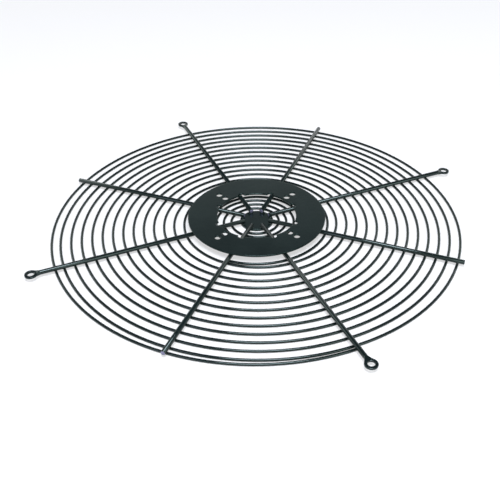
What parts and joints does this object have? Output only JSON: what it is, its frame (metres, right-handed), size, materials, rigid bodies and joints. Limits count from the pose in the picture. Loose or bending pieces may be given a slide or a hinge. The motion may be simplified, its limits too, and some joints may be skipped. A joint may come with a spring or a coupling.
{
  "type": "wire fan guard",
  "caption": "Round flat wire fan guard: a spiral wire grille on straight spokes, with screw eyes at its rim and a flat motor plate at its middle.",
  "frame": {"origin": "on the guard's axis, at the underside of the wire, which is the face that it lies on", "axes": "+Z along the axis, from the wires to the motor plate; +X through one eye and +Y through the next, seen from above"},
  "size_m": [0.513, 0.513, 0.01],
  "materials": {
    "wire_paint": "semi-gloss black paint on steel wire",
    "rod_paint": "semi-gloss black paint on steel rod",
    "plate_paint": "semi-gloss black paint on flat steel"
  },
  "bodies": {
    "root": {"grille_wire": "wire_paint", "centre_spiral": "wire_paint", "hub_disc": "plate_paint", "motor_plate": "plate_paint", "eye_rod_0": "rod_paint", "eye_rod_90": "rod_paint", "eye_rod_180": "rod_paint", "eye_rod_270": "rod_paint", "plain_rod_45": "rod_paint", "plain_rod_135": "rod_paint", "plain_rod_225": "rod_paint", "plain_rod_315": "rod_paint"}
  },
  "joints": []
}
